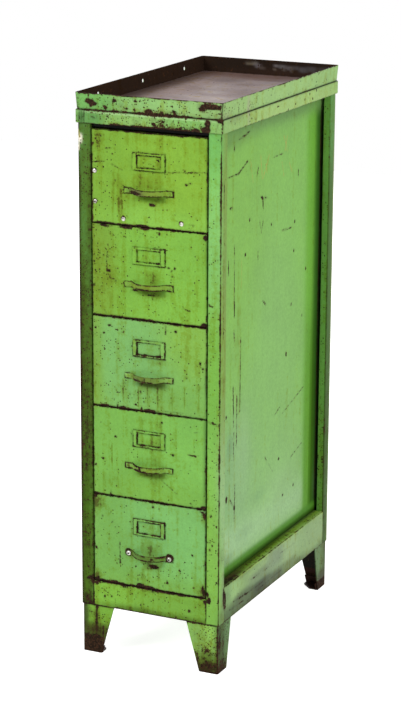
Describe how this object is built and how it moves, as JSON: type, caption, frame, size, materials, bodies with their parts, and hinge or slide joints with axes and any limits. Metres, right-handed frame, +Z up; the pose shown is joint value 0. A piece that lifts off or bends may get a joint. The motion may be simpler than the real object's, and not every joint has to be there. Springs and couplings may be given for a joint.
{
  "type": "drawer cabinet",
  "caption": "Tall narrow steel drawer cabinet on tapered legs, with sliding drawers, card holders, bow pulls and an open tray top.",
  "frame": {"origin": "on the floor, under the middle of the whole cabinet with its pulls", "axes": "+Z up, +X right along the drawer fronts, +Y into the depth; the drawers open towards -Y"},
  "size_m": [0.32, 0.6054, 1.168],
  "materials": {
    "green_paint": "worn enamel with rust at the edges",
    "dark_steel": "dull, brown with rust",
    "bright_steel": "bright"
  },
  "bodies": {
    "cabinet": {"back_panel": "green_paint", "front_rail": "green_paint", "rear_rail": "green_paint", "bottom_pan": "green_paint", "tray_top": "green_paint", "band_front_right": "green_paint", "band_rear_left": "green_paint", "side_panel_left": "green_paint", "side_panel_right": "green_paint", "side_rail_left": "green_paint", "side_rail_right": "green_paint", "post_front_left": "green_paint", "post_rear_left": "green_paint", "post_front_right": "green_paint", "post_rear_right": "green_paint", "leg_front_left": "green_paint", "leg_rear_left": "green_paint", "leg_front_right": "green_paint", "leg_rear_right": "green_paint", "front_header": "dark_steel", "rear_header": "dark_steel", "feet": "dark_steel", "runners_left": "dark_steel", "runners_right": "dark_steel", "drawer_stops": "dark_steel"},
    "drawer_1": {"drawer_front_1": "green_paint", "drawer_box_1": "green_paint", "label_holder_1": "green_paint", "pull_1": "green_paint", "drawer_slides_1": "dark_steel", "pull_rivets_1": "green_paint", "front_studs_1": "bright_steel"},
    "drawer_2": {"drawer_front_2": "green_paint", "drawer_box_2": "green_paint", "label_holder_2": "green_paint", "pull_2": "green_paint", "drawer_slides_2": "dark_steel", "pull_rivets_2": "green_paint"},
    "drawer_3": {"drawer_front_3": "green_paint", "drawer_box_3": "green_paint", "label_holder_3": "green_paint", "pull_3": "green_paint", "drawer_slides_3": "dark_steel", "pull_rivets_3": "green_paint"},
    "drawer_4": {"drawer_front_4": "green_paint", "drawer_box_4": "green_paint", "label_holder_4": "green_paint", "pull_4": "green_paint", "drawer_slides_4": "dark_steel", "pull_rivets_4": "green_paint"},
    "drawer_5": {"drawer_front_5": "green_paint", "drawer_box_5": "green_paint", "label_holder_5": "green_paint", "pull_5": "green_paint", "drawer_slides_5": "dark_steel", "pull_screws_5": "bright_steel", "pull_nuts_5": "bright_steel"}
  },
  "joints": [
    {"name": "drawer_1_slide", "type": "slide", "parent": "cabinet", "child": "drawer_1", "axis": [0, -1, 0], "range_m": [0, 0.41]},
    {"name": "drawer_2_slide", "type": "slide", "parent": "cabinet", "child": "drawer_2", "axis": [0, -1, 0], "range_m": [0, 0.41]},
    {"name": "drawer_3_slide", "type": "slide", "parent": "cabinet", "child": "drawer_3", "axis": [0, -1, 0], "range_m": [0, 0.41]},
    {"name": "drawer_4_slide", "type": "slide", "parent": "cabinet", "child": "drawer_4", "axis": [0, -1, 0], "range_m": [0, 0.41]},
    {"name": "drawer_5_slide", "type": "slide", "parent": "cabinet", "child": "drawer_5", "axis": [0, -1, 0], "range_m": [0, 0.41]}
  ]
}
